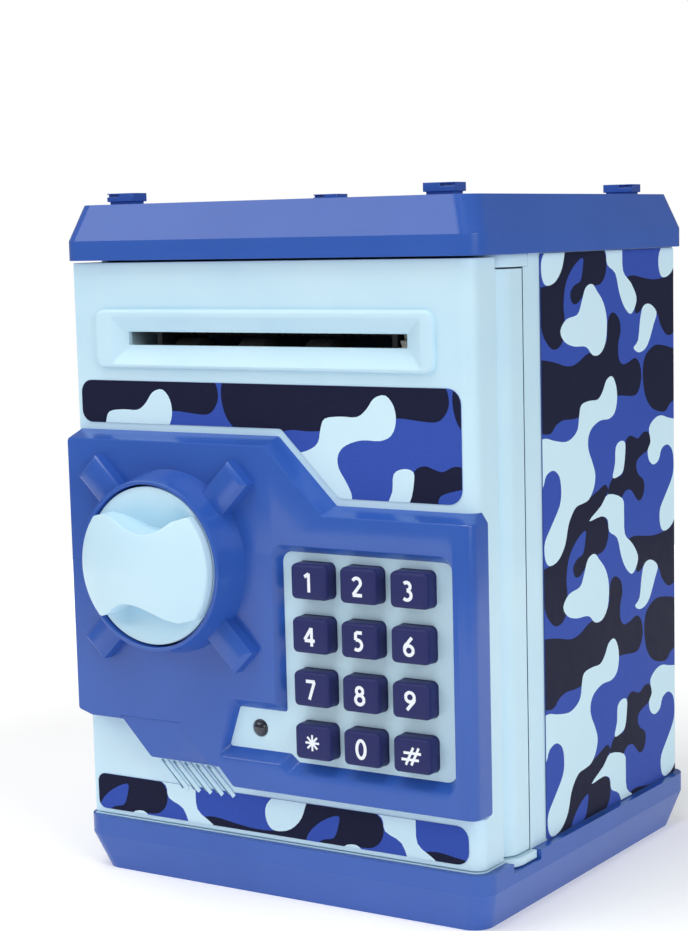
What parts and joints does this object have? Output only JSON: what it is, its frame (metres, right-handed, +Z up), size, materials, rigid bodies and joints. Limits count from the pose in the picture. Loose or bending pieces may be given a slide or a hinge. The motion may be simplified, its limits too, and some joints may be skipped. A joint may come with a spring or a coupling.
{
  "type": "toy atm savings bank",
  "caption": "Upright toy cash-machine money box with a hinged camouflage door, note slot, coin slot, turning lock knob and number keypad.",
  "frame": {"origin": "middle of the base's underside, on the surface it stands on", "axes": "+X to the right of someone facing the door, -Y towards them, +Z up"},
  "size_m": [0.134, 0.1458, 0.1936],
  "materials": {
    "pale_plastic": "satin moulded",
    "blue_plastic": "satin moulded",
    "camouflage_print": "printed film",
    "navy_key": "satin moulded, printed digits",
    "steel": "plated",
    "rubber": "matt",
    "circuit_board": "lacquered board",
    "dark_plastic": "moulded",
    "gear_plastic": "moulded",
    "dark_lens": "polished",
    "battery_wrap": "printed sleeve"
  },
  "bodies": {
    "case": {"base": "blue_plastic", "body_shell": "pale_plastic", "top_lid": "blue_plastic", "lid_lugs": "blue_plastic", "coin_chute": "pale_plastic", "side_sticker_left": "camouflage_print", "side_sticker_right": "camouflage_print", "hinge_pin": "steel", "hinge_bracket_top": "pale_plastic", "hinge_bracket_bottom": "pale_plastic", "latch_keeper": "steel", "base_screws": "steel", "lid_screws": "steel"},
    "door": {"door_front": "pale_plastic", "slot_bezel": "pale_plastic", "door_panel": "blue_plastic", "knob_collar": "blue_plastic", "keypad_plate": "pale_plastic", "keypad_membrane": "rubber", "main_board": "circuit_board", "status_led": "dark_lens", "door_sticker_upper": "camouflage_print", "door_sticker_lower": "camouflage_print", "door_liner": "pale_plastic", "battery_cover": "pale_plastic", "batteries": "battery_wrap", "battery_contacts": "steel", "speaker": "dark_plastic", "feed_motor": "steel", "feed_frame": "dark_plastic", "bill_sensor": "dark_plastic", "lock_solenoid": "steel", "door_screws": "steel"},
    "knob": {"knob": "pale_plastic", "lock_cam": "gear_plastic"},
    "latch_bolt": {"latch_bolt": "steel"},
    "lock_plunger": {"lock_plunger": "steel"},
    "drive_roller": {"drive_roller": "dark_plastic", "roller_tyres": "rubber", "roller_gear": "gear_plastic"},
    "idle_roller": {"idle_roller": "steel"},
    "motor_pinion": {"motor_pinion": "gear_plastic"},
    "key_1": {"key_1": "navy_key"},
    "key_2": {"key_2": "navy_key"},
    "key_3": {"key_3": "navy_key"},
    "key_4": {"key_4": "navy_key"},
    "key_5": {"key_5": "navy_key"},
    "key_6": {"key_6": "navy_key"},
    "key_7": {"key_7": "navy_key"},
    "key_8": {"key_8": "navy_key"},
    "key_9": {"key_9": "navy_key"},
    "key_star": {"key_star": "navy_key"},
    "key_0": {"key_0": "navy_key"},
    "key_hash": {"key_hash": "navy_key"}
  },
  "joints": [
    {"name": "door_hinge", "type": "hinge", "parent": "case", "child": "door", "pos_m": [0.0585, -0.04, 0.096], "axis": [0, 0, 1], "range_deg": [0, 95]},
    {"name": "knob_turn", "type": "hinge", "parent": "door", "child": "knob", "pos_m": [-0.0289, -0.066, 0.0932], "axis": [0, 1, 0], "range_deg": [0, 60]},
    {"name": "bolt_slide", "type": "slide", "parent": "door", "child": "latch_bolt", "axis": [-1, 0, 0], "range_m": [0, 0.005]},
    {"name": "plunger_slide", "type": "slide", "parent": "door", "child": "lock_plunger", "axis": [0, 0, -1], "range_m": [0, 0.003], "stiffness_N_per_m": 60},
    {"name": "drive_roller_spin", "type": "hinge", "parent": "door", "child": "drive_roller", "pos_m": [0, -0.048, 0.1471], "axis": [1, 0, 0], "continuous": true},
    {"name": "idle_roller_spin", "type": "hinge", "parent": "door", "child": "idle_roller", "pos_m": [0, -0.048, 0.1579], "axis": [1, 0, 0], "continuous": true},
    {"name": "motor_spin", "type": "hinge", "parent": "door", "child": "motor_pinion", "pos_m": [0.041, -0.03952, 0.13861], "axis": [1, 0, 0], "continuous": true},
    {"name": "key_1_press", "type": "slide", "parent": "door", "child": "key_1", "axis": [0, 1, 0], "range_m": [0, 0.0012], "stiffness_N_per_m": 400},
    {"name": "key_2_press", "type": "slide", "parent": "door", "child": "key_2", "axis": [0, 1, 0], "range_m": [0, 0.0012], "stiffness_N_per_m": 400},
    {"name": "key_3_press", "type": "slide", "parent": "door", "child": "key_3", "axis": [0, 1, 0], "range_m": [0, 0.0012], "stiffness_N_per_m": 400},
    {"name": "key_4_press", "type": "slide", "parent": "door", "child": "key_4", "axis": [0, 1, 0], "range_m": [0, 0.0012], "stiffness_N_per_m": 400},
    {"name": "key_5_press", "type": "slide", "parent": "door", "child": "key_5", "axis": [0, 1, 0], "range_m": [0, 0.0012], "stiffness_N_per_m": 400},
    {"name": "key_6_press", "type": "slide", "parent": "door", "child": "key_6", "axis": [0, 1, 0], "range_m": [0, 0.0012], "stiffness_N_per_m": 400},
    {"name": "key_7_press", "type": "slide", "parent": "door", "child": "key_7", "axis": [0, 1, 0], "range_m": [0, 0.0012], "stiffness_N_per_m": 400},
    {"name": "key_8_press", "type": "slide", "parent": "door", "child": "key_8", "axis": [0, 1, 0], "range_m": [0, 0.0012], "stiffness_N_per_m": 400},
    {"name": "key_9_press", "type": "slide", "parent": "door", "child": "key_9", "axis": [0, 1, 0], "range_m": [0, 0.0012], "stiffness_N_per_m": 400},
    {"name": "key_star_press", "type": "slide", "parent": "door", "child": "key_star", "axis": [0, 1, 0], "range_m": [0, 0.0012], "stiffness_N_per_m": 400},
    {"name": "key_0_press", "type": "slide", "parent": "door", "child": "key_0", "axis": [0, 1, 0], "range_m": [0, 0.0012], "stiffness_N_per_m": 400},
    {"name": "key_hash_press", "type": "slide", "parent": "door", "child": "key_hash", "axis": [0, 1, 0], "range_m": [0, 0.0012], "stiffness_N_per_m": 400}
  ],
  "couplings": [
    {"joint": "bolt_slide", "follows": "knob_turn", "m_per_rad": 0.00477},
    {"joint": "idle_roller_spin", "follows": "drive_roller_spin", "ratio": -1.6},
    {"joint": "motor_spin", "follows": "drive_roller_spin", "ratio": -2.4}
  ]
}
